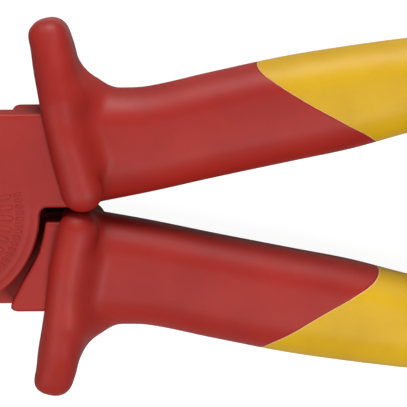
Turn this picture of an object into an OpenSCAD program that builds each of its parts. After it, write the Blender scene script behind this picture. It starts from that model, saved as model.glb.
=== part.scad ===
// Insulated diagonal cutting pliers.
// Two forged levers cross at a riveted lap joint. Each lever carries its own insulation: a joint
// cover on one face, a shoulder cover on the other, a jaw cover, a yellow signal layer on the
// tang, a red sleeve with a finger guard, and a yellow grip.
// The two halves are the same part: the lower half is the upper half turned over about X.
// Frame: +X runs along the tool towards the handle ends, +Y towards the upper handle, +Z up.
// The origin is on the pivot axis, on the flat rear face of the joint.

/* [Joint] */
// Radius of the round joint covers
joint_r = 15.2; // [14.6:0.1:16]
// Half of the joint's thickness over its covers
joint_half = 7.2; // [6.8:0.1:8]
// Half of the forged steel's thickness at the joint
steel_half = 5; // [4.5:0.1:5.4]
// Gap around the joint disc, between it and the other lever's shoulder
pocket_gap = 1.1; // [0.8:0.1:1.4]
// Half of the sliding gap between the two levers' joint faces
face_gap = 0.05; // [0.03:0.01:0.1]

/* [Rivet] */
// Radius of the rivet's shank
rivet_r = 3.5; // [3:0.1:4]
// Radial running clearance in the lower lever's bore
rivet_clearance = 0.04; // [0.02:0.01:0.08]
// Radius of the rivet's heads
rivet_head_r = 5.2; // [4.8:0.1:5.5]
// Height of a rivet head
rivet_head_h = 0.8; // [0.6:0.1:0.9]
// Outside radius of the rivet's washers
washer_r = 6; // [5.7:0.1:6]
// Thickness of a washer
washer_t = 0.5; // [0.4:0.05:0.6]
// Outside radius of the insulating pivot caps
cap_r = 7; // [6.8:0.1:8]

/* [Jaws] */
// Distance from the pivot to the tip of the jaws
jaw_reach = 38; // [36:0.5:42]
// Clearance from each cutting edge to the centre plane
edge_gap = 0.03; // [0.02:0.01:0.05]
// Half of the thickness of the edge's land
edge_land = 0.1; // [0.05:0.01:0.2]
// Rise of the ground bevel for each millimetre away from the edge
bevel_rise = 0.75; // [0.6:0.05:0.8]
// Half of the jaws' thickness at the tip
tip_half = 3; // [2.6:0.1:3.4]

/* [Handles] */
// Distance from the pivot to the end of the handles
handle_reach = 123; // [121:0.5:126]
// Length of the rounding at the handle's end
end_round = 7; // [5:0.5:9]
// Exponent of the handle's section, where 2 is an ellipse
section_power = 2.6; // [2.2:0.1:3]
// Half of the tang's thickness
tang_half = 2.5; // [2:0.1:3]
// Thickness of the yellow signal layer on the tang
signal_t = 1.2; // [0.8:0.1:1.4]

/* [Finger guard] */
// Angle of the guard's base plane to the cross direction
guard_lean = 15; // [12:1:18]
// Radius of the guard's rounded rim
guard_rim_r = 2.9; // [2.6:0.1:3.1]
// Half of the guard's height at the rim's centre line, across the faces
guard_half = 7.1; // [6.8:0.1:7.6]
// Distance from the base plane's middle to the centre of the horn's tip
horn_reach = 17.95; // [16:0.05:19]

/* [Hidden] */
$fn = 64;

RED = [0.68, 0.16, 0.15];
YELLOW = [0.89, 0.70, 0.16];
STEEL = [0.62, 0.63, 0.65];
BIG = 200;

pocket_r = joint_r + pocket_gap;
plate_r = joint_r - 2.1;            // steel joint plate inside its cover
lining_r = pocket_r + 1.5;          // steel pocket behind the lining of the covers
neck_edge = 0.8;                    // lower edge of the neck, above the centre plane
shoulder_edge = 1.45;               // lower edge of the shoulder
side_y = joint_r;                   // side of the head
shoulder_y = side_y + 0.1;          // side of the shoulder, next to the guard
floor_depth = 0.8;                  // insulation sunk in the steel under the pocket gap
base_mid = [17.4, 8.1];             // middle of the guard's base line
cap_skirt_r = cap_r - 0.7;
cap_under = joint_half - 0.55;      // underside of the cap's top

// Handle stations: distance from the pivot, outer edge, inner edge and half thickness
STATIONS = [[8, 16.8, -2, 6.7], [16, 17, -0.4, 6.7], [24, 17.6, 0.7, 6.7], [32, 18.5, 2.2, 6.75],
            [42, 20.7, 4.3, 6.75], [54, 23.2, 6.7, 6.75], [64, 24.7, 8.7, 6.75],
            [72, 25.7, 10.9, 6.8], [80, 26.6, 13, 6.9], [90, 27.2, 14.7, 7], [100, 27.3, 15.2, 7],
            [110, 26.6, 14.4, 6.8], [118, 25.3, 13, 6.5], [126, 23.6, 11.4, 6.2],
            [134, 22, 10, 6]];
// Colour boundary of the handle, from its outer to its inner edge
SPLIT = [[49.2, 22.2], [68, 9.6]];
// Tang stations: distance from the pivot, middle and half width
TANG = [[22, 8.9, 4.6], [34, 10.8, 4.3], [48, 13.6, 4], [64, 16.6, 3.6], [80, 19.7, 3],
        [96, 21.2, 2.6], [108, 20.7, 2.4]];
// Outlines of the jaw: the forging, and the outside of its cover
JAW_STEEL = [[-12, -12.8], [-20, -11.2], [-28, -8.2], [-33, -5.4], [-37, -2.6]];
JAW_COVER = [[-10, -15.05], [-16, -14.2], [-22, -12.4], [-27, -10.1], [-29.6, -8.4]];
cover_edge = -5.4;                  // inner border of the jaw cover

// Catmull-Rom value through the stations at index i and part t
function spline(p, i, t) =
    let (a = p[i - 1], b = p[i], c = p[i + 1], d = p[i + 2])
    0.5 * (2 * b + t * (c - a) + t * t * (2 * a - 5 * b + 4 * c - d)
           + t * t * t * (3 * b - a - 3 * c + d));
function steps_of(p, n) =
    [for (i = [1 : len(p) - 3]) for (k = [0 : n - 1]) spline(p, i, k / n)];

// Shrink of the section towards the rounded end of the handle
function end_scale(x) =
    let (d = (x - handle_reach + end_round) / end_round)
    d <= 0 ? 1 : sqrt(max(1 - d * d, 0.02));
function signed_power(v, e) = sign(v) * pow(abs(v), e);
// One ring of the handle's surface at station s
function ring(s, n) =
    let (k = end_scale(s[0]), mid = (s[1] + s[2]) / 2, half = (s[1] - s[2]) / 2)
    [for (j = [0 : n - 1]) let (a = 360 * j / n)
        [s[0], mid + k * half * signed_power(cos(a), 2 / section_power),
         k * s[3] * signed_power(sin(a), 2 / section_power)]];

// Solid skinned over rings of n points each
module skin(rings, n) {
    m = len(rings);
    sides = [for (i = [0 : m - 2]) for (j = [0 : n - 1]) let (k = (j + 1) % n)
                each [[i * n + j, (i + 1) * n + k, i * n + k],
                      [i * n + j, (i + 1) * n + j, (i + 1) * n + k]]];
    polyhedron([for (r = rings) each r],
               concat([[for (j = [0 : n - 1]) j]], sides,
                      [[for (j = [n - 1 : -1 : 0]) (m - 1) * n + j]]));
}

// Places of the two halves in the part's frame
module upper_half() translate([0, 0, joint_half]) children();
module lower_half() translate([0, 0, joint_half]) rotate([180, 0, 0]) children();

// Slab of a plane outline between two heights
module slab(low, high) translate([0, 0, low]) linear_extrude(high - low) children();

// Half space on the handle side of the guard's base plane
module past_base()
    translate(base_mid) rotate(guard_lean) translate([0, -BIG / 2, -BIG / 2])
        cube([BIG, BIG, BIG]);

// Half space on the grip's side of the colour boundary
module past_split() {
    run = SPLIT[1] - SPLIT[0];
    translate([SPLIT[0][0], SPLIT[0][1], 0]) rotate(atan2(run[1], run[0]))
        translate([-BIG / 2, 0, -BIG / 2]) cube([BIG, BIG, BIG]);
}

// Outline of the tang, grown by a layer
module tang_outline(layer = 0) {
    last = len(TANG) - 1;
    polygon(concat([for (s = TANG) [s[0] + (s == TANG[last] ? layer : 0), s[1] + s[2] + layer]],
                   [for (i = [last : -1 : 0]) let (s = TANG[i])
                       [s[0] + (i == last ? layer : 0), s[1] - s[2] - layer]]));
}

// Bevels that bring the jaw to its cutting edge, and the taper of its faces to the tip
module jaw_grinding() {
    for (side = [0, 1]) mirror([0, 0, side]) {
        rotate([90, 0, -90]) linear_extrude(60)
            polygon([[-1, edge_land], [edge_gap, edge_land], [12, edge_land + 12 * bevel_rise],
                     [12, 20], [-1, 20]]);
        rotate([90, 0, 0]) linear_extrude(30)
            polygon([[-18, steel_half], [-jaw_reach - 1, tip_half], [-jaw_reach - 1, 20], [-18, 20]]);
    }
}

module jaw_steel_outline()
    polygon(concat([[0, -edge_gap], [0, -plate_r]], JAW_STEEL,
                   [[-jaw_reach, -1.1], [-jaw_reach, -edge_gap]]));

// Forged lever: jaw, joint plate, neck and tang
module lever(bore_r) color(STEEL) difference() {
    union() {
        slab(face_gap, steel_half) {
            circle(plate_r);
            polygon([[0, 2.8], [14, 2.8], [24, 3.6], [24, 14.6], [14, 13.4], [0, plate_r]]);
        }
        difference() {
            slab(-steel_half, steel_half)
                polygon([[10, 3.2], [24, 3.6], [24, 14.6], [10, 14.2]]);
            slab(-BIG, face_gap) circle(lining_r);
        }
        difference() {
            slab(-steel_half, steel_half) jaw_steel_outline();
            slab(-BIG, face_gap) circle(lining_r);
            jaw_grinding();
        }
        slab(-tang_half, tang_half) tang_outline();
    }
    cylinder(r = bore_r, h = BIG, center = true);
    slab(face_gap - 1, face_gap + floor_depth) difference() {
        circle(lining_r);
        circle(plate_r);
    }
}

// Rivet, from its front head to its formed rear head
module rivet() color(STEEL) {
    top = steel_half + washer_t;
    rear = -steel_half - face_gap - washer_t;
    translate([0, 0, rear]) cylinder(r = rivet_r, h = top - rear);
    translate([0, 0, top]) cylinder(r1 = rivet_head_r, r2 = rivet_head_r - 0.5, h = rivet_head_h);
    translate([0, 0, rear - rivet_head_h])
        cylinder(r1 = rivet_head_r - 0.5, r2 = rivet_head_r, h = rivet_head_h);
}

module washer(low) color(STEEL)
    slab(low, low + washer_t) difference() {
        circle(washer_r);
        circle(rivet_r);
    }

// Insulating cap over a rivet head: a top and a skirt that stands on the plate
module pivot_cap(foot) color(RED) {
    difference() {
        translate([0, 0, foot]) cylinder(r = cap_r, h = joint_half - foot);
        translate([0, 0, foot - 1]) cylinder(r = cap_skirt_r, h = cap_under - foot + 1);
    }
}

// Cover of the joint plate and the neck
module joint_cover() color(RED) difference() {
    slab(face_gap, joint_half) {
        circle(joint_r);
        polygon([[0, 0], [13.9, 0], [14.9, 0.5], [16, neck_edge], [24, neck_edge],
                 [24, side_y], [0, side_y]]);
    }
    past_base();
    lever(rivet_r);
    cylinder(r = cap_r, h = BIG, center = true);
    // shallow ring groove just inside the disc's edge
    translate([0, 0, joint_half - 0.2]) difference() {
        cylinder(r = 13.9, h = 1);
        cylinder(r = 13.6, h = 3, center = true);
    }
}

// Cover of the shoulder, on the other face of the same lever
module shoulder_cover() color(RED) difference() {
    slab(-joint_half, face_gap) difference() {
        polygon([[15, shoulder_edge], [24, shoulder_edge], [24, shoulder_y], [11.9, shoulder_y],
                 [11.2, shoulder_y - 0.3], [11.1, shoulder_y - 0.8], [15.3, 6]]);
        circle(pocket_r);
    }
    past_base();
    lever(rivet_r);
}

// Cover of the jaw, back from its cutting edge
module jaw_cover() color(RED) difference() {
    slab(-joint_half, joint_half)
        polygon(concat([[-4, cover_edge], [-4, -side_y]], JAW_COVER, [[-29.2, -7], [-26, cover_edge]]));
    slab(face_gap, BIG) circle(joint_r);
    slab(-BIG, face_gap) circle(pocket_r);
    lever(rivet_r);
    for (side = [0, 1]) mirror([0, 0, side])
        rotate([90, 0, 0]) linear_extrude(30)
            polygon([[-16, joint_half], [-32, joint_half - 1.4], [-32, 20], [-16, 20]]);
}

// Yellow layer bonded on the tang, closed over its end
module signal_layer() color(YELLOW) difference() {
    slab(-tang_half - signal_t, tang_half + signal_t) tang_outline(signal_t);
    slab(-tang_half, tang_half) tang_outline();
    translate([0, 0, -BIG / 2]) cube([24, BIG, BIG]);
}

// Whole outer body of the handle
module handle_body() {
    sides = 28;
    inner = [for (s = steps_of(STATIONS, 2)) if (s[0] < handle_reach - end_round) s];
    tail = [for (s = steps_of(STATIONS, 8)) if (s[0] >= handle_reach - end_round
                                                && s[0] <= handle_reach) s];
    skin([for (s = concat(inner, tail)) ring(s, sides)], sides);
}

// Rim of the finger guard: place along the base line, height, offset from the base and radius
GUARD_RIM = [[-5.6, guard_half, 3], [2, guard_half + 0.2, 3], [8, guard_half - 0.4, 3.3],
             [13, 5.4, 3.9], [horn_reach, 3, 4], [horn_reach, -3, 4], [13, -5.4, 3.9],
             [8, -guard_half + 0.4, 3.3], [2, -guard_half - 0.2, 3], [-5.6, -guard_half, 3]];

module guard() translate([base_mid[0], base_mid[1], 0]) rotate(guard_lean)
    for (i = [0 : len(GUARD_RIM) - 1]) {
        pair = [GUARD_RIM[i], GUARD_RIM[(i + 1) % len(GUARD_RIM)]];
        hull() {
            for (p = pair) translate([p[2], p[0], p[1]]) sphere(guard_rim_r, $fn = 24);
            translate([3, 2, 0]) sphere(guard_rim_r, $fn = 24);
        }
    }

// Red sleeve with the finger guard
module sleeve() color(RED) difference() {
    union() {
        handle_body();
        guard();
    }
    difference() {
        translate([-BIG / 2, -BIG / 2, -BIG / 2]) cube(BIG);
        past_base();
    }
    past_split();
    lever(rivet_r);
    slab(-tang_half - signal_t, tang_half + signal_t) tang_outline(signal_t);
}

// Yellow grip over the rest of the handle
module grip() color(YELLOW) difference() {
    intersection() {
        handle_body();
        past_split();
    }
    slab(-tang_half - signal_t, tang_half + signal_t) tang_outline(signal_t);
}

upper_half() lever(rivet_r);  // upper_lever
lower_half() lever(rivet_r + rivet_clearance);  // lower_lever
upper_half() rivet();  // pivot_rivet
upper_half() washer(steel_half);  // front_washer
upper_half() washer(-steel_half - face_gap - washer_t);  // rear_washer
upper_half() pivot_cap(steel_half);  // front_pivot_cap
lower_half() pivot_cap(steel_half);  // rear_pivot_cap
upper_half() joint_cover();  // upper_joint_cover
lower_half() joint_cover();  // lower_joint_cover
upper_half() shoulder_cover();  // upper_shoulder_cover
lower_half() shoulder_cover();  // lower_shoulder_cover
upper_half() jaw_cover();  // upper_jaw_cover
lower_half() jaw_cover();  // lower_jaw_cover
upper_half() signal_layer();  // upper_signal_layer
lower_half() signal_layer();  // lower_signal_layer
upper_half() sleeve();  // upper_sleeve
lower_half() sleeve();  // lower_sleeve
upper_half() grip();  // upper_grip
lower_half() grip();  // lower_grip
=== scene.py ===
"""Insulated diagonal cutting pliers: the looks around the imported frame.

Shapes are in millimetres in the frame of one half: the pivot axis is X = Y = 0 and the joint's
middle plane is Z = 0. The lower half is the same shape turned over about X. Moulded pieces are
surfaces where a distance field is zero, so that their blends, fillets and rounded edges are real
geometry. Materials, stage, lights and camera are in metres.
"""

import math

import bmesh
import bpy
import numpy as np
from mathutils import Matrix, Vector


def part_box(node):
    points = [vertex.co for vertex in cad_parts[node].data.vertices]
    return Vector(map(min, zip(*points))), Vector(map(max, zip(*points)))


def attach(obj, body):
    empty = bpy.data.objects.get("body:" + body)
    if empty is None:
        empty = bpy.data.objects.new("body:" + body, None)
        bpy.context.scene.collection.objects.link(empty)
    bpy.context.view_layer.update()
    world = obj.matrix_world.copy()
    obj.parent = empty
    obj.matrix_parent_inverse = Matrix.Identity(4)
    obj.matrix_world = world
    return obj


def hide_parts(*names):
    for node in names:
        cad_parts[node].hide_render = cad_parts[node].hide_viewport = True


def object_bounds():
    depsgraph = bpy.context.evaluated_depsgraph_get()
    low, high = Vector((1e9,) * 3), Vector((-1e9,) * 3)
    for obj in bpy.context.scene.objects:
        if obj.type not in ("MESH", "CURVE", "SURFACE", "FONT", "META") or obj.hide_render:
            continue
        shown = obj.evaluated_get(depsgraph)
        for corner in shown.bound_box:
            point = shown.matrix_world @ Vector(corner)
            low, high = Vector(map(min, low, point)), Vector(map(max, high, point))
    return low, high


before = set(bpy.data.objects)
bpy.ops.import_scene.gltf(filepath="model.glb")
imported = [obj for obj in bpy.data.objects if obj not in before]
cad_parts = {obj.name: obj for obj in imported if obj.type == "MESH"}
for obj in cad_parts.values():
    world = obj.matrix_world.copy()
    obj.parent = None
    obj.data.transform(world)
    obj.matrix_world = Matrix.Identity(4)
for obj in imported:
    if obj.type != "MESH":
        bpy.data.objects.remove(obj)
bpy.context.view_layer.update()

MM = 0.001


def cad(node, corner, axis):
    """One face of a CAD node's box, in millimetres: corner 0 is the low side and 1 the high one."""
    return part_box(node)[corner]["xyz".index(axis)] / MM


# ---- sizes read from the frame ----
FRONT_Z = cad("upper_joint_cover", 1, "z")
MIDDLE = FRONT_Z / 2                       # height of the joint's middle plane
HALF = FRONT_Z - MIDDLE                    # half of the joint's thickness
DISC_R = -cad("upper_joint_cover", 0, "x")
SIDE_Y = cad("upper_joint_cover", 1, "y")  # side of the head
REACH = cad("upper_grip", 1, "x")          # end of the handles
SHOULDER_Y = cad("upper_shoulder_cover", 1, "y")   # side of the shoulder
CAP_R = cad("front_pivot_cap", 1, "x")
FACE_GAP = cad("upper_joint_cover", 0, "z") - MIDDLE   # from the middle plane to a lap face

# ---- sizes of the design ----
POCKET_R = DISC_R + 1.1                    # wall of the pocket that the disc turns in
PLATE_R = DISC_R - 2.1                     # steel joint plate inside its cover
LINING_R = POCKET_R + 1.5                  # steel behind the lining of the pocket
STEEL_HALF = 5.0                           # half of the steel's thickness
FLOOR_TOP = 0.85                           # top of the lining under the pocket gap
CAP_SKIRT_R = CAP_R - 0.7                  # inside of a pivot cap's skirt
CAP_UNDER = HALF - 0.55                    # underside of a pivot cap's top
NECK_EDGE = 0.8                            # lower edge of the neck
SHOULDER_EDGE = 1.45                       # lower edge of the shoulder
BASE_MID = (17.4, 8.1)                     # middle of the guard's base line
GUARD_LEAN = math.radians(15)              # angle of the guard to the cross direction
# Handle stations: distance from the pivot, outer edge, inner edge, half thickness
STATIONS = np.array([
    (8, 13, -2.3, 6.7), (17, 14.8, -0.5, 6.7), (22.5, 17.8, 0.5, 6.7), (32, 18.7, 2.3, 6.75),
    (42, 20.85, 4.45, 6.75), (54, 23.3, 6.9, 6.75), (64, 24.8, 8.95, 6.75), (72, 25.8, 11.15, 6.8),
    (80, 26.6, 13.1, 6.9), (90, 27.1, 14.8, 7.0), (100, 27.2, 15.3, 7.0), (110, 26.5, 14.5, 6.8),
    (118, 25.2, 13.1, 6.5), (130, 22.7, 10.7, 6.2)])
SECTION_R = 5.3                            # rounding of the handle's section
END_R = SECTION_R                          # rounding of its end
HANDLE_LEAN = math.radians(12)             # slope of the handle near the guard
CROWN, CROWN_LIFT = 0.012, 0.12            # gentle crown of its faces
# Finger guard in its own plane: outline of its core, along the guard and across the faces
GUARD_CORE = [(-5.85, 6.9), (1.5, 7.2), (8.0, 6.7), (12.5, 5.2), (17.9, 3.2)]
# Place along the guard, and the middle and half thickness of the guard there
GUARD_U = np.array([(-9, 2.75, 3.2), (-4, 2.75, 3.2), (2, 2.9, 3.0), (6, 3.1, 2.85),
                    (10, 3.6, 3.0), (14, 4.18, 3.27), (18, 4.4, 3.05), (22, 3.98, 2.82)])
GUARD_TWIST = 0.055                        # turn of the guard's inner end from face to face
TWIST_FADE = (-4, 8)                       # where along the guard that turn fades out
HORN_TIP = (15, 18.5)                      # where the round section grows squarer at the horn
HORN_SQUARE = 0.5                          # and how much its exponent grows there
# Fillet between the guard and the handle: at the guard's inner end, and what is added past it
FILLET, RIDGE_FILLET, HORN_FILLET = 0.8, 2.4, 5.1
RIDGE_START, HORN_START = (-6, -2), (3, 10)
FILLET_SIDE = (1, 4.5)                     # distance past the base plane where it is added
GUARD_BASE = -0.6                          # where the guard starts, beside its base plane
GUARD_OVERLAP = 1.0                        # how far the covers reach under the guard
COVER_EDGE_R = 0.55                        # rounding of the covers' outer edges
JAW_EDGE_R = 1.3                           # and of the jaw cover's
LAP_EDGE_R, CAP_SEAT_R = 0.2, 0.15         # and of the joint cover at its lap face and its hole
SHOULDER_POCKET_R, JAW_POCKET_R = 0.4, 0.3     # and of the pocket's edges
CREASE_R = 0.1                             # and of the sharpest edges
CAP_GAP = 0.05                             # half of the gap round a pivot cap
DISC_LAP = 0.3                             # how far the jaw cover reaches under the disc's edge
NECK_FILLET = 1.2                          # inside corner between the disc and the neck
RING_R, RING_WIDTH, RING_DEPTH = 13.9, 0.2, 0.16   # ring line inside the disc's edge
RELIEF = 0.18                              # height of the graduation round the disc
# Rows of the graduation: radius, length and width of a bar, and degrees from bar to bar
RELIEF_ROWS = ((10.2, 2.3, 0.7, 9), (12.35, 1.2, 0.4, 4.5))
RELIEF_TURNS = (-166, 15)                  # degrees where the rows start and stop
DISC_EDGE = DISC_R + 0.18                  # moulded edge of the disc
SEAM_WIDTH, SEAM_DEPTH = 0.2, 0.06         # fine groove between the two colours
# Colour boundary of the handle: place across the leaning handle, and place along it
BOUNDARY = np.array([(-8, 68.6), (-5, 68.6), (-3, 67.65), (0, 64.55), (4, 60.0), (8, 55.8),
                     (10.5, 53.3), (12.5, 52.35), (16, 52.25)])
BOUNDARY_SLANT = -0.11                     # its shift for each millimetre towards the front
# Outlines seen along Z: insulation and steel of the neck and the shoulder, and steel of the jaw
NECK = [(0, NECK_EDGE), (27, NECK_EDGE), (27, SIDE_Y + 0.12), (0, SIDE_Y + 0.12)]
NECK_STEEL = [(0, 2.8), (14, 2.8), (24, 3.6), (24, 14.6), (14, 13.4), (0, PLATE_R)]
SHOULDER = [(15, SHOULDER_EDGE), (27, SHOULDER_EDGE), (27, SHOULDER_Y + 0.1),
            (11.7, SHOULDER_Y + 0.1), (11, SHOULDER_Y - 0.1), (10.7, SHOULDER_Y - 0.5),
            (10.75, SHOULDER_Y - 1), (15.1, 6)]
SHOULDER_STEEL = [(10, 3.2), (24, 3.6), (24, 14.6), (10, 14.2)]
JAW_STEEL = [(0, 0), (0, -PLATE_R), (-12, -12.8), (-20, -11.2), (-28, -8.2), (-33, -5.4),
             (-37, -2.6), (-38, 0)]
# Outer edge of the jaw's cover, from its tip back to the disc
JAW_EDGE = np.array([(-30, -7.9), (-29, -8.9), (-27, -10.1), (-22, -12.4), (-16, -14.2),
                     (-10, -15.05), (-4, -SIDE_Y)])
JAW_BORDER = -5.4                          # inner border of the jaw's cover
JAW_TIP = [(-29.6, -7), (-28, -6), (-26, JAW_BORDER)]  # round the tip to the inner border
TAPER_START, JAW_TAPER = -16, 0.0875       # where its faces taper from, and loss per millimetre


# ---- distance fields ----
def curve(x, table, column):
    """Smooth value of one column of a table of stations at x (cubic Hermite)."""
    xs, ys = table[:, 0], table[:, column]
    slope = np.gradient(ys, xs)
    x = np.clip(x, xs[0], xs[-1])
    i = np.clip(np.searchsorted(xs, x, side="right") - 1, 0, len(xs) - 2)
    h = xs[i + 1] - xs[i]
    t = (x - xs[i]) / h
    return ((2 * t**3 - 3 * t**2 + 1) * ys[i] + (t**3 - 2 * t**2 + t) * h * slope[i]
            + (3 * t**2 - 2 * t**3) * ys[i + 1] + (t**3 - t**2) * h * slope[i + 1])


def step(low, high, x):
    """Smooth step from 0 at low to 1 at high."""
    t = np.clip((x - low) / (high - low), 0, 1)
    return t * t * (3 - 2 * t)


def outline(points, x, y):
    """Signed distance to a closed outline, negative inside."""
    best = np.full(np.broadcast(x, y).shape, 1e9)
    sign = np.ones(best.shape)
    for (ax, ay), (bx, by) in zip(points, points[-1:] + points[:-1]):
        ex, ey = bx - ax, by - ay
        wx, wy = x - ax, y - ay
        t = np.clip((wx * ex + wy * ey) / (ex * ex + ey * ey), 0, 1)
        best = np.minimum(best, (wx - ex * t) ** 2 + (wy - ey * t) ** 2)
        above, below = y >= ay, y < by
        left = ex * wy > ey * wx
        flip = (above & below & left) | (~above & ~below & ~left)
        sign = np.where(flip, -sign, sign)
    return sign * np.sqrt(best)


def both(a, b, r):
    """Intersection of two fields with an edge rounded to radius r."""
    u, v = np.maximum(a + r, 0), np.maximum(b + r, 0)
    return np.minimum(np.maximum(a, b), -r) + np.hypot(u, v)


def either(a, b, r):
    """Union of two fields with a fillet of radius r."""
    u, v = np.maximum(r - a, 0), np.maximum(r - b, 0)
    return np.maximum(np.minimum(a, b), r) - np.hypot(u, v)


def handle_field(x, y, z):
    """The whole handle: a rounded section carried along the stations, with a round end."""
    outer, inner, half = (curve(x, STATIONS, c) for c in (1, 2, 3))
    from_middle = y - (outer + inner) / 2
    lean = math.cos(HANDLE_LEAN)
    qy = (np.abs(from_middle) - (outer - inner) / 2) * lean + SECTION_R
    qz = np.abs(z) + CROWN * from_middle**2 - half + SECTION_R - CROWN_LIFT
    qx = x - (REACH - END_R)
    core = np.minimum(np.maximum(qy, qz), 0)
    return np.sqrt(np.maximum(qy, 0)**2 + np.maximum(qz, 0)**2
                   + np.maximum(qx, 0)**2) + core - SECTION_R


def guard_coordinates(x, y):
    """Distance past the guard's base plane, and distance along it."""
    dx, dy = x - BASE_MID[0], y - BASE_MID[1]
    c, s = math.cos(GUARD_LEAN), math.sin(GUARD_LEAN)
    return c * dx + s * dy, c * dy - s * dx


def guard_field(x, y, z):
    """Finger guard: a thick rounded rim round a flat core, a little squarer at the horn's tip."""
    u, v = guard_coordinates(x, y)
    points = GUARD_CORE + [(p, -q) for p, q in reversed(GUARD_CORE)]
    middle, thick = curve(v, GUARD_U, 1), curve(v, GUARD_U, 2)
    middle = middle + GUARD_TWIST * z * (1 - step(*TWIST_FADE, v))
    rim = outline(points, v, z)
    power = 2 + HORN_SQUARE * step(*HORN_TIP, v)
    reach = np.maximum(rim, 0)**power + np.abs(u - middle)**power
    return reach**(1 / power) - thick


def handle_with_guard(x, y, z):
    """Handle and guard, with the wide fillet that the thumb rests against behind the horn."""
    u, v = guard_coordinates(x, y)
    added = RIDGE_FILLET * step(*RIDGE_START, v) + HORN_FILLET * step(*HORN_START, v)
    fillet = FILLET + added * step(*FILLET_SIDE, u)
    return either(handle_field(x, y, z), guard_field(x, y, z), fillet)


def joint_cover_field(x, y, z):
    """Cover of the joint plate and the neck, with a ring line along the disc's free edge."""
    u, _ = guard_coordinates(x, y)
    r = np.hypot(x, y)
    shape = either(r - DISC_EDGE, outline(NECK, x, y), NECK_FILLET)
    on_neck = step(-0.5, 1.5, y) * step(-1.5, 0.5, x)
    line = RING_DEPTH * (1 - on_neck) * np.exp(-((r - RING_R) / RING_WIDTH)**2)
    body = both(both(shape, z - HALF + line, COVER_EDGE_R), FACE_GAP - z, LAP_EDGE_R)
    steel = np.maximum(np.minimum(r - PLATE_R, outline(NECK_STEEL, x, y)), z - STEEL_HALF)
    lining = np.maximum(np.maximum(PLATE_R - r, r - LINING_R), z - FLOOR_TOP)
    body = np.maximum(np.maximum(body, -np.maximum(steel, -lining)), u - GUARD_OVERLAP)
    return both(body, CAP_R + CAP_GAP - r, CAP_SEAT_R)


def shoulder_cover_field(x, y, z):
    """Cover of the shoulder, with the wall of the pocket that the other disc turns in."""
    u, _ = guard_coordinates(x, y)
    r = np.hypot(x, y)
    shape = both(outline(SHOULDER, x, y), POCKET_R - r, SHOULDER_POCKET_R)
    body = both(both(shape, -z - HALF, COVER_EDGE_R), z - FACE_GAP, CREASE_R)
    steel = np.maximum(np.maximum(outline(SHOULDER_STEEL, x, y), LINING_R - r), -z - STEEL_HALF)
    return np.maximum(np.maximum(body, -steel), u - GUARD_OVERLAP)


def jaw_cover_field(x, y, z):
    """Cover of the jaw, back from its cutting edge and thinner towards the tip."""
    r = np.hypot(x, y)
    limit = HALF - JAW_TAPER * np.maximum(TAPER_START - x, 0)
    tip, back = JAW_EDGE[0, 0], JAW_EDGE[-1, 0]
    edge = [(p, float(curve(p, JAW_EDGE, 1))) for p in np.linspace(back, tip, 27)]
    shape = outline([(back, JAW_BORDER)] + edge + JAW_TIP, x, y)
    body = both(shape, np.abs(z) - limit, JAW_EDGE_R)
    disc = np.maximum(r - DISC_R + DISC_LAP, FACE_GAP - z)
    pocket = np.maximum(r - POCKET_R, z - FACE_GAP)
    steel = np.maximum(outline(JAW_STEEL, x, y), np.abs(z) - STEEL_HALF)
    steel = np.maximum(steel, np.minimum(LINING_R - r, FACE_GAP - z))
    return np.maximum(both(both(body, -disc, CREASE_R), -pocket, JAW_POCKET_R), -steel)


# ---- surfaces from fields ----
CORNERS = np.array([(i, j, k) for i in (0, 1) for j in (0, 1) for k in (0, 1)])
MERGE = 1e-5                               # distance at which a vertex counts as on a cut


def crossed_cells(values):
    """One vertex in each cell of a grid where the sign of the values changes, at the mean of the
    places where the cell's edges cross zero. Also a grid of the vertices' numbers."""
    inside = values < 0
    cells = tuple(n - 1 for n in values.shape)
    total = np.zeros(cells, int)
    for i, j, k in CORNERS:
        total += inside[i:i + cells[0], j:j + cells[1], k:k + cells[2]]
    active = (total > 0) & (total < len(CORNERS))
    places = np.argwhere(active)
    index = np.full(cells, -1)
    index[active] = np.arange(len(places))
    where, hits = np.zeros((len(places), 3)), np.zeros(len(places))
    for a in CORNERS:
        for axis in np.flatnonzero(a == 0):
            b = a.copy()
            b[axis] = 1
            va, vb = values[tuple((places + a).T)], values[tuple((places + b).T)]
            crossed = (va < 0) != (vb < 0)
            t = np.where(crossed, va / np.where(crossed, va - vb, 1), 0)
            where[crossed] += (a + t[:, None] * (b - a))[crossed]
            hits[crossed] += 1
    return places + where / hits[:, None], index


def quads_between(inside, index):
    """A quad round each edge of the grid that the surface crosses, facing out."""
    faces = []
    for axis in range(3):
        p, q = [a for a in range(3) if a != axis]
        if axis == 1:
            p, q = q, p
        lead = [slice(1, n - 1) for n in inside.shape]
        lead[axis] = slice(0, inside.shape[axis] - 1)
        trail = list(lead)
        trail[axis] = slice(1, inside.shape[axis])
        first, second = inside[tuple(lead)], inside[tuple(trail)]
        edges = np.argwhere(first != second)
        grows = first[tuple(edges.T)]
        edges[:, (p, q)] += 1
        ring = []
        for dp, dq in ((1, 1), (0, 1), (0, 0), (1, 0)):
            cell = edges.copy()
            cell[:, p] -= dp
            cell[:, q] -= dq
            ring.append(index[tuple(cell.T)])
        ring = np.array(ring).T
        faces.append(np.where(grows[:, None], ring, ring[:, ::-1]))
    return np.concatenate(faces)


def settle(field, points, pitch):
    """Points moved onto the surface where the field is zero, along the field's slope."""
    small, longest, flattest = 0.15 * pitch, 0.6 * pitch, 0.3
    for _ in range(3):
        x, y, z = points.T
        slope = np.array([field(x + small, y, z) - field(x - small, y, z),
                          field(x, y + small, z) - field(x, y - small, z),
                          field(x, y, z + small) - field(x, y, z - small)]).T / (2 * small)
        size = np.maximum((slope**2).sum(1), flattest)
        move = -(field(x, y, z) / size)[:, None] * slope
        reach = np.maximum(np.linalg.norm(move, axis=1) / longest, 1)
        points = points + move / reach[:, None]
    return points


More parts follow.
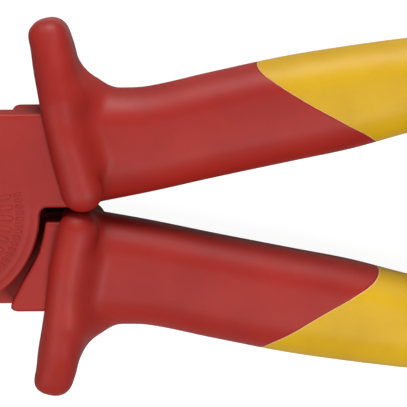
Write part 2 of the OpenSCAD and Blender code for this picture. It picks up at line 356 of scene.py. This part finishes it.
def surface(field, low, high, pitch):
    """Closed surface where a field is zero, inside a box: a grid of values, a vertex in each
    crossed cell, quads between them, and each vertex then moved onto the true surface."""
    x, y, z = (np.arange(a, b + pitch, pitch) for a, b in zip(low, high))
    values = np.broadcast_to(field(x[:, None, None], y[None, :, None], z[None, None, :]),
                             (len(x), len(y), len(z)))
    places, index = crossed_cells(values)
    return (settle(field, np.array(low) + pitch * places, pitch),
            quads_between(values < 0, index))


def mesh_object(name, points, faces, half):
    """A mesh object in metres, placed as part of the upper or the lower half."""
    turned = points if half == "upper" else points * (1, -1, -1)
    mesh = bpy.data.meshes.new(name)
    mesh.from_pydata(((turned + (0, 0, MIDDLE)) * MM).tolist(), [], faces)
    mesh.validate()
    mesh.shade_smooth()
    obj = bpy.data.objects.new(name, mesh)
    bpy.context.scene.collection.objects.link(obj)
    return obj


def to_bmesh(points, faces):
    """A new bmesh from points and faces."""
    bm = bmesh.new()
    verts = [bm.verts.new(p) for p in points]
    for f in faces:
        bm.faces.new([verts[i] for i in f])
    bm.normal_update()
    return bm


def from_bmesh(bm):
    """Points and faces of a bmesh."""
    bm.verts.index_update()
    points = np.array([v.co for v in bm.verts])
    faces = [[v.index for v in f.verts] for f in bm.faces]
    return points, faces


def split(bm, point, normal, **clear):
    """Cuts a bmesh along a plane, and clears the inner or outer side if told to."""
    bmesh.ops.bisect_plane(bm, geom=bm.verts[:] + bm.edges[:] + bm.faces[:], dist=MERGE,
                           plane_co=point, plane_no=normal, **clear)


def close(bm):
    """Fills the openings of a bmesh."""
    bmesh.ops.holes_fill(bm, edges=[e for e in bm.edges if e.is_boundary])


# ---- materials ----
def colour(red, green, blue):
    """Linear colour from 0 to 255 screen values."""
    def linear(c):
        c /= 255
        return c / 12.92 if c <= 0.04045 else ((c + 0.055) / 1.055) ** 2.4
    return (linear(red), linear(green), linear(blue), 1)


def new_material(name):
    """A new material, with its nodes, its links and its shader."""
    material = bpy.data.materials.new(name)
    material.use_nodes = True
    nodes = material.node_tree.nodes
    return material, nodes, material.node_tree.links, nodes["Principled BSDF"]


def noise(nodes, links, coords, scale, detail, roughness=0.55):
    """Noise texture with scale cells to a metre."""
    texture = nodes.new("ShaderNodeTexNoise")
    texture.inputs["Scale"].default_value = scale
    texture.inputs["Detail"].default_value = detail
    texture.inputs["Roughness"].default_value = roughness
    links.new(coords, texture.inputs["Vector"])
    return texture.outputs["Fac"]


def tint(nodes, links, shader, factor, stops):
    """Base colour from a ramp, whose stops are pairs of place and colour."""
    ramp = nodes.new("ShaderNodeValToRGB")
    elements = ramp.color_ramp.elements
    elements[0].position, elements[1].position = stops[0][0], stops[-1][0]
    for position, _ in stops[1:-1]:
        elements.new(position)
    for element, (_, value) in zip(elements, stops):
        element.color = value
    links.new(factor, ramp.inputs["Fac"])
    links.new(ramp.outputs["Color"], shader.inputs["Base Color"])


def gloss(nodes, links, shader, factor, low, high):
    """Roughness that runs from low to high with a factor."""
    spread = nodes.new("ShaderNodeMapRange")
    spread.inputs["To Min"].default_value = low
    spread.inputs["To Max"].default_value = high
    links.new(factor, spread.inputs["Value"])
    links.new(spread.outputs["Result"], shader.inputs["Roughness"])


def bump(nodes, links, height, strength, depth, below=None):
    """Bump of a depth in metres, on top of another one if there is one below."""
    node = nodes.new("ShaderNodeBump")
    node.inputs["Strength"].default_value = strength
    node.inputs["Distance"].default_value = depth
    links.new(height, node.inputs["Height"])
    if below:
        links.new(below, node.inputs["Normal"])
    return node.outputs["Normal"]


def moulded_plastic(name, base, light, dark, rough):
    """Satin moulded plastic: faint clouding of its colour, spark-eroded grain and fine scuffs."""
    material, nodes, links, shader = new_material(name)
    coords = nodes.new("ShaderNodeTexCoord").outputs["Object"]
    clouds = noise(nodes, links, coords, 90, 5)
    tint(nodes, links, shader, clouds, ((0.3, dark), (0.5, base), (0.72, light)))
    scuffs = noise(nodes, links, coords, 260, 6, 0.65)
    gloss(nodes, links, shader, scuffs, rough - 0.05, rough + 0.07)
    grain = bump(nodes, links, noise(nodes, links, coords, 5200, 3), 0.12, 0.06 * MM)
    waves = bump(nodes, links, noise(nodes, links, coords, 150, 2), 0.1, 0.4 * MM, grain)
    links.new(waves, shader.inputs["Normal"])
    shader.inputs["Specular IOR Level"].default_value = 0.15
    return material


def ground_steel(name, base, rough, stretch):
    """Steel with fine parallel grinding marks."""
    material, nodes, links, shader = new_material(name)
    coords = nodes.new("ShaderNodeTexCoord").outputs["Object"]
    mapping = nodes.new("ShaderNodeMapping")
    mapping.inputs["Scale"].default_value = stretch
    links.new(coords, mapping.inputs["Vector"])
    marks = noise(nodes, links, mapping.outputs["Vector"], 900, 6, 0.7)
    darker = [c * 0.72 for c in base[:3]] + [1]
    tint(nodes, links, shader, marks, ((0, darker), (1, base)))
    gloss(nodes, links, shader, marks, rough - 0.08, rough + 0.12)
    links.new(bump(nodes, links, marks, 0.2, 0.05 * MM), shader.inputs["Normal"])
    shader.inputs["Metallic"].default_value = 1
    return material


RED = moulded_plastic("red_plastic", colour(108, 18, 12), colour(113, 21, 14),
                      colour(102, 15, 10), 0.52)
YELLOW = moulded_plastic("yellow_plastic", colour(144, 112, 5), colour(149, 117, 8),
                         colour(138, 106, 3), 0.5)
# Pale band on the yellow side of the seam groove: a painted highlight, standing in for light caught
# by the lip's edge.
LIP_PAINTED_HIGHLIGHT = moulded_plastic("yellow_lip_painted_highlight", colour(158, 124, 80), colour(164, 130, 88),
                      colour(150, 116, 72), 0.6)
SIGNAL = moulded_plastic("signal_plastic", colour(240, 200, 30), colour(244, 206, 40),
                         colour(232, 190, 24), 0.6)
STEEL = ground_steel("tool_steel", (0.16, 0.16, 0.165, 1), 0.48, (1, 0.08, 1))
RIVET = ground_steel("rivet_steel", (0.3, 0.3, 0.31, 1), 0.35, (1, 1, 0.1))


# ---- pieces ----
HALVES = ("upper", "lower")


def place(points, faces, half, node, material):
    """One finished piece: its mesh, its finish, its body and the CAD node that it stands for."""
    obj = mesh_object(f"{node}_moulding", points, faces, half)
    obj.data.materials.append(material)
    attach(obj, f"{half}_half")
    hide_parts(node)
    return obj


def boundary_coordinates(points, back=False):
    """Turns space so that the colour boundary becomes the plane X = 0, or turns it back."""
    c, s = math.cos(HANDLE_LEAN), math.sin(HANDLE_LEAN)
    p = np.array(points, float)
    slant = BOUNDARY_SLANT * p[:, 2]
    if back:
        along, across = p[:, 0] + curve(p[:, 1], BOUNDARY, 1) + slant, p[:, 1]
        return np.stack([c * along - s * across, s * along + c * across, p[:, 2]], 1)
    along, across = c * p[:, 0] + s * p[:, 1], c * p[:, 1] - s * p[:, 0]
    return np.stack([along - curve(across, BOUNDARY, 1) - slant, across, p[:, 2]], 1)


def whole_handle():
    """A handle with its guard, cut off flat at the guard's base."""
    pitch = 0.5
    low, high = (13, -4, -11), (REACH + 1.5, 31, 11)
    bm = to_bmesh(*surface(handle_with_guard, low, high, pitch))
    normal = Vector((math.cos(GUARD_LEAN), math.sin(GUARD_LEAN), 0))
    base = Vector((*BASE_MID, 0)) + normal * GUARD_BASE
    split(bm, base, normal, clear_inner=True)
    close(bm)
    points, faces = from_bmesh(bm)
    bm.free()
    return points, faces


def one_colour(straight, faces, near):
    """The part of a straightened handle nearer to the joint than the colour boundary, or the part
    past it, with its half of the groove. Also says which faces are on the groove's lip, which
    on the grip carry a pale painted highlight."""
    along = (1, 0, 0)
    lip = -SEAM_WIDTH if near else SEAM_WIDTH
    bm = to_bmesh(straight, faces)
    split(bm, (lip, 0, 0), along)
    split(bm, (0, 0, 0), along, clear_outer=near, clear_inner=not near)
    bm.normal_update()
    for v in bm.verts:
        if abs(v.co.x) < 10 * MERGE:
            v.co -= Vector((0, v.normal.y, v.normal.z)).normalized() * SEAM_DEPTH
    close(bm)
    points, faces = from_bmesh(bm)
    bm.free()
    # Faces on the groove's lip, where the grip gets its pale painted highlight.
    lip_faces_for_painted_highlight = [max(abs(points[i][0]) for i in f) < SEAM_WIDTH * 1.01 for f in faces]
    return boundary_coordinates(points, back=True), faces, lip_faces_for_painted_highlight


def make_handles():
    """The red sleeves and the yellow grips, whose half of the groove gets a pale painted highlight.
    """
    points, faces = whole_handle()
    straight = boundary_coordinates(points)
    for part, material, slot in (("sleeve", RED, "red_sleeve"), ("grip", YELLOW, "yellow_grip")):
        part_points, part_faces, lip_faces_for_painted_highlight = one_colour(straight, faces, part == "sleeve")
        for half in HALVES:
            obj = place(part_points, part_faces, half, f"{half}_{part}", material)
            if part == "grip":
                # The grip's faces on the groove's lip get the pale painted highlight material.
                obj.data.materials.append(LIP_PAINTED_HIGHLIGHT)
                obj.data.polygons.foreach_set("material_index", np.array(lip_faces_for_painted_highlight, int))


def oval_bar(length, width, height, sink):
    """Low raised bar with soft edges, lengthwise along X, that stands on Z = 0 and goes down by
    sink."""
    count, roundness = 16, 0.6
    turn = np.arange(count) * 2 * math.pi / count
    ring = np.stack([np.sign(wave) * np.abs(wave)**roundness
                     for wave in (np.cos(turn), np.sin(turn))], 1)
    levels = ((0, -sink), (0, height * 0.35), (0.05, height * 0.8), (0.12, height))
    points = [(cx * (length / 2 - inset), cy * (width / 2 - inset), z)
              for inset, z in levels for cx, cy in ring]
    top = (len(levels) - 1) * count
    faces = [list(range(count))[::-1], [top + i for i in range(count)]]
    for low in range(0, top, count):
        for i in range(count):
            j = (i + 1) % count
            faces.append([low + i, low + j, low + count + j, low + count + i])
    return np.array(points), faces


def joined(parts):
    """One set of points and faces out of several."""
    points, faces, start = [], [], 0
    for part_points, part_faces in parts:
        points.append(part_points)
        faces += [[start + int(i) for i in f] for f in part_faces]
        start += len(part_points)
    return np.concatenate(points), faces


def joint_relief():
    """Plain graduation of raised bars round the free side of the disc."""
    parts = []
    for radius, length, width, spacing in RELIEF_ROWS:
        template, faces = oval_bar(length, width, RELIEF, 0.3)
        for turn in np.radians(np.arange(*RELIEF_TURNS, spacing)):
            c, s = math.cos(turn), math.sin(turn)
            x, y = template[:, 0] + radius, template[:, 1]
            parts.append((np.stack([c * x - s * y, s * x + c * y, template[:, 2] + HALF], 1),
                          faces))
    return parts


def make_covers():
    """The covers of the joint plates, shoulders and jaws, each in a box that holds its field."""
    pitch = 0.25
    side, face = DISC_R + 0.6, HALF + 0.6
    joint = surface(joint_cover_field, (-side, -side, -0.4), (24, side, face), pitch)
    shoulder = surface(shoulder_cover_field, (10, 0.5, -face), (24, SHOULDER_Y + 0.7, 0.7), pitch)
    jaw = surface(jaw_cover_field, (-31, -16, -face), (-3, -4.5, face), pitch)
    covers = {"joint_cover": joined([joint] + joint_relief()), "shoulder_cover": shoulder,
              "jaw_cover": jaw}
    for half in HALVES:
        for part, (points, faces) in covers.items():
            place(points, faces, half, f"{half}_{part}", RED)


def lathe(profile, count=96):
    """Closed solid turned about Z from a profile that starts and ends on the axis."""
    points, rings = [], []
    for r, z in profile:
        rings.append(len(points))
        if r == 0:
            points.append((0, 0, z))
            continue
        for i in range(count):
            turn = 2 * math.pi * i / count
            points.append((r * math.cos(turn), r * math.sin(turn), z))
    faces = []
    for k in range(len(profile) - 1):
        a, b = rings[k], rings[k + 1]
        for i in range(count):
            j = (i + 1) % count
            if profile[k][0] == 0:
                faces.append([a, b + i, b + j])
            elif profile[k + 1][0] == 0:
                faces.append([a + j, a + i, b])
            else:
                faces.append([a + i, b + i, b + j, a + j])
    return np.array(points), faces


def arc(cx, cz, r, start, end, count=6):
    """Points of an arc in a profile, between two angles in degrees."""
    return [(cx + r * math.cos(math.radians(start + (end - start) * i / count)),
             cz + r * math.sin(math.radians(start + (end - start) * i / count)))
            for i in range(count + 1)]


def make_caps():
    """The insulating caps over the rivet's heads: a raised rim round a faintly domed middle."""
    dish, side, edge_r = HALF - 0.25, CAP_R - CAP_GAP, 0.45
    rim, fillet, rim_round = 5.1, 0.2, 0.15
    profile = [(0, dish + 0.12), (2, dish + 0.1), (3.6, dish + 0.04)]
    profile += arc(rim - fillet, dish + fillet, fillet, -90, 0, 4)
    profile += arc(rim + rim_round, HALF - rim_round, rim_round, 180, 90, 4)
    profile += arc(side - edge_r, HALF - edge_r, edge_r, 90, 0)
    profile += [(side, STEEL_HALF), (CAP_SKIRT_R, STEEL_HALF)]
    profile += [(CAP_SKIRT_R, CAP_UNDER), (0, CAP_UNDER)]
    points, faces = lathe(profile)
    for node, half in (("front_pivot_cap", "upper"), ("rear_pivot_cap", "lower")):
        place(points, faces, half, node, RED)


def finish_cad(nodes, material):
    """A better material for CAD nodes whose shape stays."""
    for node in nodes:
        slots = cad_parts[node].data.materials
        slots.clear()
        slots.append(material)


make_handles()
make_covers()
make_caps()
finish_cad(("upper_lever", "lower_lever"), STEEL)
finish_cad(("pivot_rivet", "front_washer", "rear_washer"), RIVET)
finish_cad(("upper_signal_layer", "lower_signal_layer"), SIGNAL)


# ---- stage, lights and camera ----
TARGET = Vector((0.0406, 0.00028, MIDDLE * MM))    # what the lights and the camera point at
WHITE = (1, 1, 1, 1)


def make_stage():
    """A floor just under the tool. It looks white to the camera, and sends back only as much
    light as a plain grey one."""
    lowest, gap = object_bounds()[0][2], 0.0002
    bpy.ops.mesh.primitive_plane_add(size=3, location=(0.04, 0, lowest - gap))
    floor = bpy.context.object
    floor.name = "floor"
    material, nodes, links, shader = new_material("floor_white")
    shader.inputs["Base Color"].default_value = (0.1, 0.1, 0.1, 1)
    shader.inputs["Roughness"].default_value = 0.9
    shader.inputs["Emission Color"].default_value = WHITE
    shader.inputs["Emission Strength"].default_value = 0.93
    grey = nodes.new("ShaderNodeBsdfDiffuse")
    grey.inputs["Color"].default_value = (0.3, 0.3, 0.3, 1)
    ray = nodes.new("ShaderNodeLightPath")
    mix = nodes.new("ShaderNodeMixShader")
    links.new(ray.outputs["Is Camera Ray"], mix.inputs["Fac"])
    links.new(grey.outputs["BSDF"], mix.inputs[1])
    links.new(shader.outputs["BSDF"], mix.inputs[2])
    links.new(mix.outputs["Shader"], nodes["Material Output"].inputs["Surface"])
    floor.data.materials.append(material)


def area_light(name, location, size, watts):
    """A round lamp that points at the target."""
    light = bpy.data.lights.new(name, "AREA")
    light.shape = "DISK"
    light.size = size
    light.energy = watts
    obj = bpy.data.objects.new(name, light)
    obj.location = location
    direction = TARGET - Vector(location)
    obj.rotation_euler = direction.to_track_quat("-Z", "Y").to_euler()
    bpy.context.scene.collection.objects.link(obj)


def make_lights():
    """Two soft lamps on the near side, one low past the upper handle, and an even surround."""
    area_light("left", (-0.42, -0.3, 0.6), 0.6, 6.4)
    area_light("right", (0.34, -0.24, 0.7), 0.4, 7.8)
    area_light("back", (0.03, 0.74, 0.17), 0.3, 9.5)
    world = bpy.data.worlds.new("studio")
    world.use_nodes = True
    background = world.node_tree.nodes["Background"]
    background.inputs["Color"].default_value = WHITE
    background.inputs["Strength"].default_value = 0.5
    bpy.context.scene.world = world


def make_camera():
    """Camera over the roots of the handles, a little off the vertical towards the upper handle
    and rolled a little."""
    distance, tilt, roll = 0.42, math.radians(8), math.radians(0.5)
    seen, sensor = 0.0636, 36              # metres across the picture, and the sensor's width
    toward = Vector((0, math.sin(tilt), math.cos(tilt)))
    up = Vector((0, math.cos(tilt), -math.sin(tilt)))
    right = Vector((1, 0, 0))
    rolled_right = right * math.cos(roll) - up * math.sin(roll)
    rolled_up = right * math.sin(roll) + up * math.cos(roll)
    data = bpy.data.cameras.new("camera")
    data.sensor_width = sensor
    data.lens = sensor * distance / seen
    data.clip_start = 0.01
    camera = bpy.data.objects.new("camera", data)
    turn = Matrix((rolled_right, rolled_up, toward)).transposed().to_4x4()
    camera.matrix_world = Matrix.Translation(TARGET + toward * distance) @ turn
    bpy.context.scene.collection.objects.link(camera)
    bpy.context.scene.camera = camera


make_stage()
make_lights()
make_camera()
bpy.context.scene.view_settings.view_transform = "Standard"
